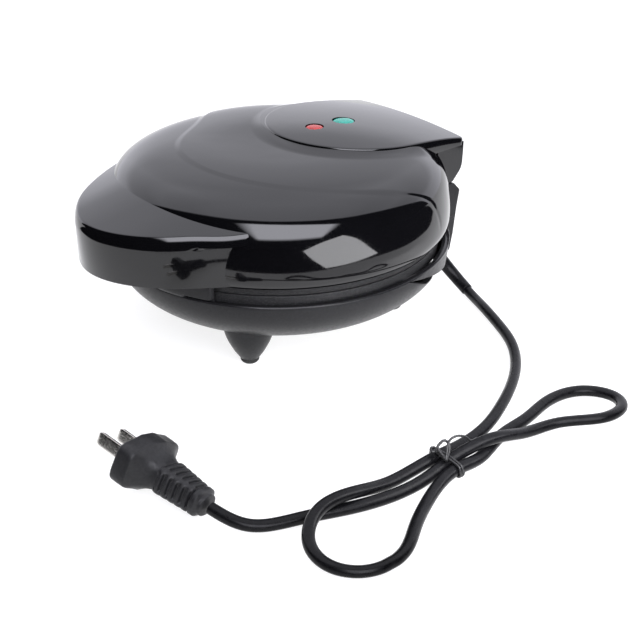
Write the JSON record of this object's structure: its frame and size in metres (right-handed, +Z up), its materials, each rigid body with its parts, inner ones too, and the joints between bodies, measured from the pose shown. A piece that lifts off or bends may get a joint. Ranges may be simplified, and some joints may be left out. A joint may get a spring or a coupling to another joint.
{
  "type": "mini donut maker",
  "caption": "Round countertop ring-cake maker with a hinged domed lid, a front handle, ring cavities in its plates, indicator lights and a bundled mains cord.",
  "frame": {"origin": "on the floor, at the centre of the box of the body and lid without the cord and plug", "axes": "+Z up, -Y towards the front handle, +Y towards the hinge, +X to the right of a user who faces the handle"},
  "size_m": [0.2942, 0.2544, 0.0988],
  "materials": {
    "gloss_shell": "high gloss black",
    "satin_shell": "satin black",
    "coated_plate": "cast, dark non-stick coating",
    "foot_rubber": "matte black",
    "cord_pvc": "satin black sheath",
    "plug_pvc": "matte black",
    "tie_plastic": "black coated wire",
    "plug_metal": "nickel plated",
    "zinc_steel": "zinc plated",
    "shield_sheet": "aluminised sheet",
    "element_steel": "heat-tinted tube",
    "red_lens": "clear red",
    "green_lens": "clear green",
    "thermoset": "moulded thermoset",
    "ceramic": "cream ceramic",
    "lead_silicone": "sleeved lead",
    "neon_glass": "small glass bulb"
  },
  "bodies": {
    "base": {"base_shell": "satin_shell", "lower_handle": "satin_shell", "rubber_foot_front_left": "foot_rubber", "rubber_foot_front_right": "foot_rubber", "rubber_foot_rear_left": "foot_rubber", "rubber_foot_rear_right": "foot_rubber", "lower_heating_plate": "coated_plate", "lower_element": "element_steel", "lower_heat_shield": "shield_sheet", "thermostat": "ceramic", "thermal_fuse": "ceramic", "terminal_block": "thermoset", "supply_lead": "lead_silicone", "element_lead": "lead_silicone", "base_screw_1": "zinc_steel", "base_screw_2": "zinc_steel", "base_screw_3": "zinc_steel", "hinge_pin_left": "zinc_steel", "hinge_pin_right": "zinc_steel", "strain_relief": "cord_pvc", "power_cord": "cord_pvc", "cord_tie": "tie_plastic", "plug_body": "plug_pvc", "plug_pin_left": "plug_metal", "plug_pin_right": "plug_metal"},
    "lid": {"lid_shell": "gloss_shell", "hinge_cover": "gloss_shell", "upper_handle": "gloss_shell", "upper_heating_plate": "coated_plate", "upper_element": "element_steel", "upper_heat_shield": "shield_sheet", "plate_screw_1": "zinc_steel", "plate_screw_2": "zinc_steel", "plate_screw_3": "zinc_steel", "lid_screw_left": "zinc_steel", "lid_screw_right": "zinc_steel", "handle_screw_left": "zinc_steel", "handle_screw_right": "zinc_steel", "red_lamp_lens": "red_lens", "green_lamp_lens": "green_lens", "red_neon_lamp": "neon_glass", "green_neon_lamp": "neon_glass", "lamp_holder": "thermoset", "lid_lead": "lead_silicone"}
  },
  "joints": [
    {"name": "lid_hinge", "type": "hinge", "parent": "base", "child": "lid", "pos_m": [0, 0.09745, 0.0657], "axis": [-1, 0, 0], "range_deg": [0, 95]}
  ]
}
